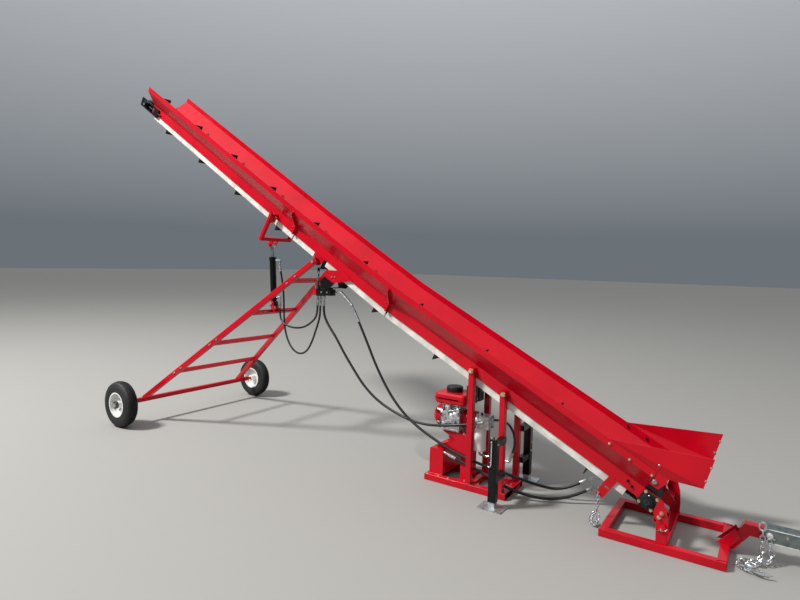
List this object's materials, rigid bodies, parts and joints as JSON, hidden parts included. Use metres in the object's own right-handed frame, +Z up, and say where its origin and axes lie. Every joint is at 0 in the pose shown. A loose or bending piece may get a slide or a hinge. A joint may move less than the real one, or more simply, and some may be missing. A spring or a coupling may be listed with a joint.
{
  "type": "firewood conveyor",
  "caption": "Towable petrol-hydraulic firewood conveyor: folded sheet trough with a flighted belt, loading hopper, wheeled lift frame and ground frame with drawbar",
  "frame": {"origin": "middle of the machine's length and width, on the ground that its wheels, feet and ground frame stand on", "axes": "+X towards the hopper and drawbar, -X towards the discharge head, +Z up; the side seen in the picture faces -Y"},
  "size_m": [5.7308, 1.656, 3.1539],
  "materials": {
    "red_enamel": "gloss enamel",
    "black_enamel": "satin black enamel",
    "belt_rubber": "matt",
    "hose_rubber": "satin",
    "tyre_rubber": "matt",
    "white_enamel": "gloss white enamel",
    "white_plastic": "smooth",
    "bare_steel": "turned",
    "zinc": "zinc plated",
    "galvanised": "hot dip galvanised",
    "cast_grey": "cast, grey-green paint",
    "aluminium": "cast",
    "black_plastic": "moulded",
    "filter_white": "gloss"
  },
  "bodies": {
    "conveyor": {"air_cleaner": "black_plastic", "belt": "belt_rubber", "chain_brackets": "red_enamel", "drive_motor": "black_enamel", "drums": "bare_steel", "engine_bed": "red_enamel", "engine_block": "aluminium", "fuel_tank": "red_enamel", "hand_valve": "black_enamel", "hanger": "red_enamel", "head_takeups": "red_enamel", "hopper": "red_enamel", "hose_fittings": "zinc", "jack_tubes": "black_enamel", "lower_hose": "hose_rubber", "lower_section": "red_enamel", "middle_section": "red_enamel", "motor_feed_hose": "hose_rubber", "motor_return_hose": "hose_rubber", "oil_filter": "filter_white", "oil_tank": "red_enamel", "pivot_pins": "zinc", "power_stand": "red_enamel", "pump": "aluminium", "pump_hose": "hose_rubber", "pump_housing": "red_enamel", "pump_loop_hose": "hose_rubber", "raise_hose": "hose_rubber", "recoil_cover": "red_enamel", "return_strips": "white_plastic", "stow_chain": "zinc", "tail_bearings": "cast_grey", "upper_section": "red_enamel", "valve_bracket": "black_enamel", "yoke_plates": "red_enamel"},
    "skid": {"skid_frame": "red_enamel", "drawbar": "red_enamel", "coupler": "galvanised", "tow_chain": "zinc"},
    "lift_frame": {"lift_frame": "red_enamel", "cylinder_pin": "zinc"},
    "near_wheel": {"near_tyre": "tyre_rubber", "near_rim": "white_enamel"},
    "far_wheel": {"far_tyre": "tyre_rubber", "far_rim": "white_enamel"},
    "lift_barrel": {"lift_barrel": "black_enamel", "cylinder_fittings": "zinc"},
    "lift_rod": {"lift_rod": "bare_steel"},
    "near_jack": {"near_jack_leg": "zinc"},
    "far_jack": {"far_jack_leg": "zinc"}
  },
  "joints": [
    {"name": "skid_tilt", "type": "hinge", "parent": "conveyor", "child": "skid", "pos_m": [2.164, 0, 0.125], "axis": [0, 1, 0], "range_deg": [-12, 8]},
    {"name": "lift_hinge", "type": "hinge", "parent": "conveyor", "child": "lift_frame", "pos_m": [-0.45187, 0, 1.50174], "axis": [0, 1, 0], "range_deg": [-20, 6], "deforming": ["raise_hose", "lower_hose"]},
    {"name": "near_wheel_spin", "type": "hinge", "parent": "lift_frame", "child": "near_wheel", "pos_m": [-2.145, -0.762, 0.203], "axis": [0, 1, 0], "continuous": true},
    {"name": "far_wheel_spin", "type": "hinge", "parent": "lift_frame", "child": "far_wheel", "pos_m": [-2.145, 0.762, 0.203], "axis": [0, 1, 0], "continuous": true},
    {"name": "barrel_hinge", "type": "hinge", "parent": "lift_frame", "child": "lift_barrel", "pos_m": [-1.045, 0, 1.128], "axis": [0, 1, 0], "range_deg": [-2.3, 7.6]},
    {"name": "rod_slide", "type": "slide", "parent": "lift_barrel", "child": "lift_rod", "axis": [-0.0561, 0, 0.9984], "range_m": [-0.064, 0.209]},
    {"name": "near_jack_slide", "type": "slide", "parent": "conveyor", "child": "near_jack", "axis": [0, 0, 1], "range_m": [-0.2, 0.03]},
    {"name": "far_jack_slide", "type": "slide", "parent": "conveyor", "child": "far_jack", "axis": [0, 0, 1], "range_m": [-0.2, 0.03]}
  ],
  "couplings": [
    {"joint": "barrel_hinge", "follows": "lift_hinge", "ratio": -0.375},
    {"joint": "rod_slide", "follows": "lift_hinge", "m_per_rad": -0.595}
  ]
}
